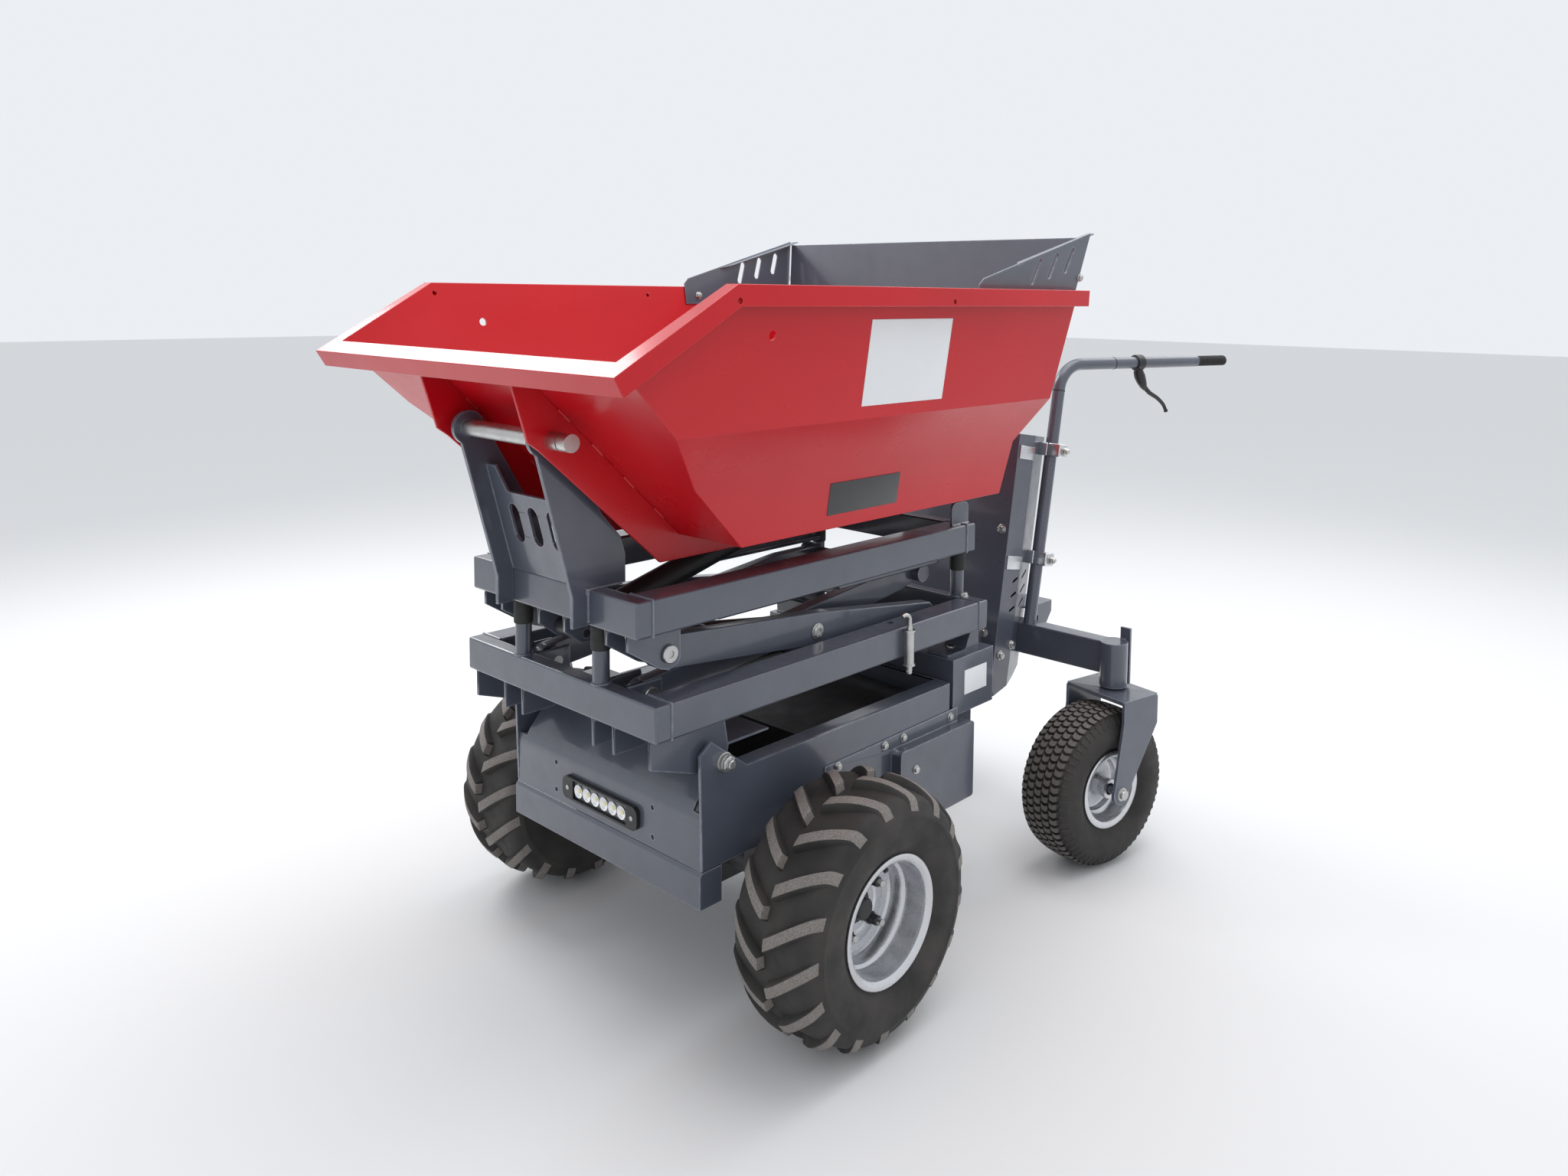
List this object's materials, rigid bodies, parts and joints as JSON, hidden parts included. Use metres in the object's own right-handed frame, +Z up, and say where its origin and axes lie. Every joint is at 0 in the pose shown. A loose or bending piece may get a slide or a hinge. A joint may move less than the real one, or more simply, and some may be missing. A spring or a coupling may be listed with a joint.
{
  "type": "site dumper",
  "caption": "Pedestrian-controlled site dumper with a tipping skip on a scissor lift, lugged drive wheels in front, swivelling casters and handlebars behind.",
  "frame": {"origin": "on the ground under the middle of the machine, half way along, across and at the tyres' lowest points", "axes": "+X forward, towards the tipping lip and the drive wheels; +Y left; +Z up"},
  "size_m": [2.1401, 1.0586, 1.4495],
  "materials": {
    "red_paint": "glossy",
    "grey_paint": "satin powder coat",
    "column_paint": "glossy",
    "black_paint": "satin",
    "zinc": "zinc plated",
    "rod_chrome": "polished",
    "bar_steel": "satin powder coat",
    "rim_silver": "silver paint",
    "tyre": "matt",
    "black_rubber": "matt",
    "black_plastic": "fine grain",
    "lens": "clear",
    "clamp_steel": "brushed",
    "battery_case": "dark casing",
    "unit_case": "dark casing"
  },
  "bodies": {
    "chassis": {"chassis_tub": "grey_paint", "hood": "grey_paint", "bumper": "grey_paint", "lamp_bezel": "black_plastic", "lamp_lens": "lens", "side_covers": "grey_paint", "rear_box": "grey_paint", "battery": "battery_case", "drive_axle": "black_paint", "lower_frame": "grey_paint", "rest_posts": "grey_paint", "rest_pads": "black_rubber", "lock_pin": "zinc", "frame_hinge_bolts": "zinc", "rear_brackets": "grey_paint", "column_cover": "column_paint", "power_pack": "unit_case", "caster_beam": "grey_paint", "handlebars": "bar_steel", "grips": "black_rubber", "brake_levers": "black_plastic", "bar_clamps": "clamp_steel", "lower_pivot_pins": "zinc"},
    "inner_arms": {"inner_arms": "grey_paint", "upper_rollers": "zinc"},
    "outer_arms": {"outer_arms": "grey_paint", "middle_pins": "zinc", "lower_rollers": "zinc", "upper_pivot_pins": "zinc"},
    "upper_frame": {"upper_frame": "grey_paint", "tower": "grey_paint", "tip_shaft": "zinc"},
    "skip": {"skip_tub": "red_paint", "skip_ribs": "red_paint", "guard_left": "grey_paint", "guard_right": "grey_paint", "guard_rear": "grey_paint"},
    "lift_barrel": {"lift_barrel": "black_paint"},
    "lift_rod": {"lift_rod": "rod_chrome"},
    "tip_barrel": {"tip_barrel": "black_paint"},
    "tip_rod": {"tip_rod": "rod_chrome"},
    "front_wheel_left": {"front_tyre_left": "tyre", "front_rim_left": "rim_silver"},
    "caster_fork_left": {"caster_fork_left": "grey_paint"},
    "caster_wheel_left": {"caster_tyre_left": "tyre", "caster_rim_left": "rim_silver"},
    "front_wheel_right": {"front_tyre_right": "tyre", "front_rim_right": "rim_silver"},
    "caster_fork_right": {"caster_fork_right": "grey_paint"},
    "caster_wheel_right": {"caster_tyre_right": "tyre", "caster_rim_right": "rim_silver"}
  },
  "joints": [
    {"name": "lift", "type": "hinge", "parent": "chassis", "child": "inner_arms", "pos_m": [0.78192, 0, 0.61121], "axis": [0, 1, 0], "range_deg": [0, 45]},
    {"name": "outer_arms_turn", "type": "hinge", "parent": "inner_arms", "child": "outer_arms", "pos_m": [0.40635, 0, 0.654], "axis": [0, 1, 0], "range_deg": [-90, 0]},
    {"name": "upper_frame_level", "type": "hinge", "parent": "outer_arms", "child": "upper_frame", "pos_m": [0.78192, 0, 0.69679], "axis": [0, 1, 0], "range_deg": [0, 45]},
    {"name": "lift_barrel_turn", "type": "hinge", "parent": "chassis", "child": "lift_barrel", "pos_m": [0.11235, 0, 0.565], "axis": [0, 1, 0], "range_deg": [-31, 0]},
    {"name": "lift_rod_slide", "type": "slide", "parent": "lift_barrel", "child": "lift_rod", "axis": [0.9888, 0, 0.1495], "range_m": [0, 0.2529]},
    {"name": "tip", "type": "hinge", "parent": "upper_frame", "child": "skip", "pos_m": [0.95735, 0, 1.071], "axis": [0, 1, 0], "range_deg": [0, 70]},
    {"name": "tip_barrel_turn", "type": "hinge", "parent": "upper_frame", "child": "tip_barrel", "pos_m": [0.82235, 0, 0.704], "axis": [0, 1, 0], "range_deg": [0, 56.9]},
    {"name": "tip_rod_slide", "type": "slide", "parent": "tip_barrel", "child": "tip_rod", "axis": [-0.9662, 0, 0.2579], "range_m": [0, 0.4155]},
    {"name": "front_wheel_left_spin", "type": "hinge", "parent": "chassis", "child": "front_wheel_left", "pos_m": [0.53735, 0.431, 0.2327], "axis": [0, 1, 0], "continuous": true},
    {"name": "caster_left_swivel", "type": "hinge", "parent": "chassis", "child": "caster_fork_left", "pos_m": [-0.38265, 0.43, 0.45], "axis": [0, 0, 1], "continuous": true},
    {"name": "caster_left_spin", "type": "hinge", "parent": "caster_fork_left", "child": "caster_wheel_left", "pos_m": [-0.32005, 0.41669, 0.182], "axis": [0.2079, 0.9781, 0], "continuous": true},
    {"name": "front_wheel_right_spin", "type": "hinge", "parent": "chassis", "child": "front_wheel_right", "pos_m": [0.53735, -0.431, 0.2327], "axis": [0, 1, 0], "continuous": true},
    {"name": "caster_right_swivel", "type": "hinge", "parent": "chassis", "child": "caster_fork_right", "pos_m": [-0.38265, -0.43, 0.45], "axis": [0, 0, 1], "continuous": true},
    {"name": "caster_right_spin", "type": "hinge", "parent": "caster_fork_right", "child": "caster_wheel_right", "pos_m": [-0.32005, -0.41669, 0.182], "axis": [-0.2079, 0.9781, 0], "continuous": true}
  ],
  "couplings": [
    {"joint": "outer_arms_turn", "follows": "lift", "ratio": -2},
    {"joint": "upper_frame_level", "follows": "lift", "ratio": 1},
    {"joint": "lift_barrel_turn", "follows": "lift", "ratio": -0.68872},
    {"joint": "lift_rod_slide", "follows": "lift", "m_per_rad": 0.32138},
    {"joint": "tip_barrel_turn", "follows": "tip", "ratio": 0.81269},
    {"joint": "tip_rod_slide", "follows": "tip", "m_per_rad": 0.33972}
  ]
}
